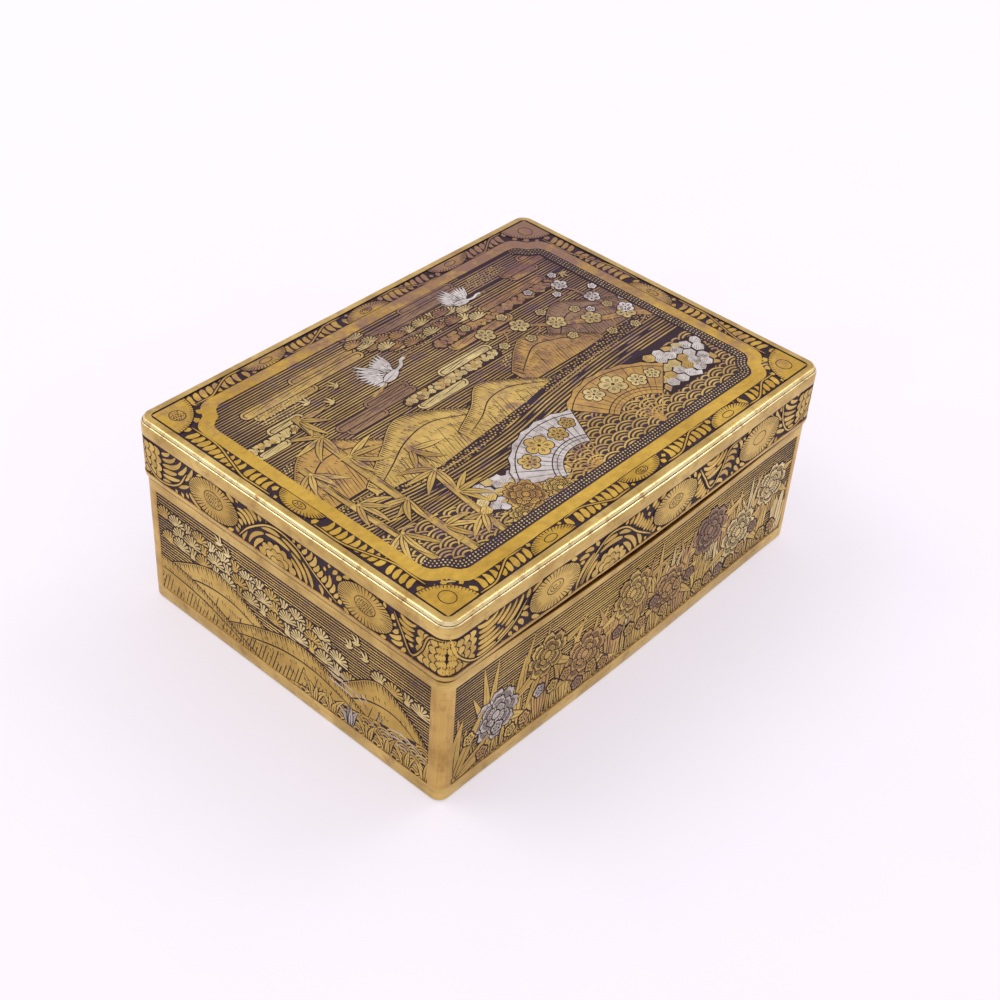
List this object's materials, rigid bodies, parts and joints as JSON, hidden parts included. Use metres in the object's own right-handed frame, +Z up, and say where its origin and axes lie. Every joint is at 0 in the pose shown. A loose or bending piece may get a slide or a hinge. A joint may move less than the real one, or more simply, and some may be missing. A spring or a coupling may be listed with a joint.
{
  "type": "damascene box",
  "caption": "Small rectangular damascened iron trinket box with a hinged lid, gilt lining and inlaid gold flower borders.",
  "frame": {"origin": "centre of the base plate's underside, where the box rests", "axes": "+Z up through the lid, +X to the right along the long side, the front with the finger opening faces -Y and the hinge lies along +Y"},
  "size_m": [0.091, 0.0675, 0.0369],
  "materials": {
    "gilt_iron": "gilded, brushed and worn at the edges, with dark sunk grounds",
    "dark_iron": "blackened, purple-brown patina",
    "gold": "gold foil, engraved and polished",
    "gilt_lining": "gilt, satin",
    "hinge_metal": "dull, aged"
  },
  "bodies": {
    "body": {"body_walls": "gilt_iron", "base_plate": "dark_iron", "body_lining": "gilt_lining", "hinge_pin": "hinge_metal", "hinge_knuckle_body_1": "hinge_metal", "hinge_knuckle_body_3": "hinge_metal", "hinge_knuckle_body_5": "hinge_metal"},
    "lid": {"lid_rim": "gilt_iron", "lid_plate": "dark_iron", "lid_lining": "gilt_lining", "lid_frame_foil": "gold", "hinge_knuckle_lid_2": "hinge_metal", "hinge_knuckle_lid_4": "hinge_metal", "corner_flower_front_left": "gold", "corner_flower_front_right": "gold", "corner_flower_back_right": "gold", "corner_flower_back_left": "gold", "border_flower_front_1": "gold", "border_flower_front_2": "gold", "border_flower_front_3": "gold", "border_flower_right_1": "gold", "border_flower_back_1": "gold", "border_flower_back_2": "gold", "border_flower_back_3": "gold", "border_flower_left_1": "gold", "side_flower_front_1": "gold", "side_flower_front_2": "gold", "side_flower_front_3": "gold", "side_flower_right_1": "gold", "side_flower_right_2": "gold", "side_flower_back_1": "gold", "side_flower_back_2": "gold", "side_flower_back_3": "gold", "side_flower_left_1": "gold", "side_flower_left_2": "gold"}
  },
  "joints": [
    {"name": "lid_hinge", "type": "hinge", "parent": "body", "child": "lid", "pos_m": [0, 0.0331, 0.02538], "axis": [-1, 0, 0], "range_deg": [0, 105]}
  ]
}
